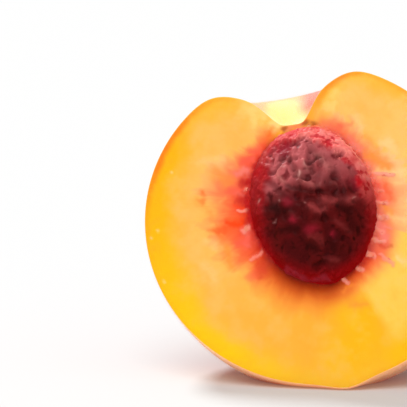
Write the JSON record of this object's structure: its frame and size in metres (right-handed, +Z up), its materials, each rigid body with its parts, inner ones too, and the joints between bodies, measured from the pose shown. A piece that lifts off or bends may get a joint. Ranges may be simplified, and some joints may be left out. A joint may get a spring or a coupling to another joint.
{
  "type": "peach half with its stone",
  "caption": "Half a yellow peach, cut along its seam with the whole stone left in, standing on its blossom end and leaning back.",
  "frame": {"origin": "on the ground under the middle of the whole half", "axes": "+Z up from the ground, +X to the right along the cut face, -Y the way the cut face looks"},
  "size_m": [0.0718, 0.0502, 0.0636],
  "materials": {
    "flesh_and_skin": "moist yellow-orange flesh inside a thin downy skin of cream, orange and red",
    "stone": "wet, deeply furrowed dark red-brown shell with red flesh clinging to it"
  },
  "bodies": {
    "root": {"flesh_half": "flesh_and_skin", "stone": "stone"}
  },
  "joints": []
}
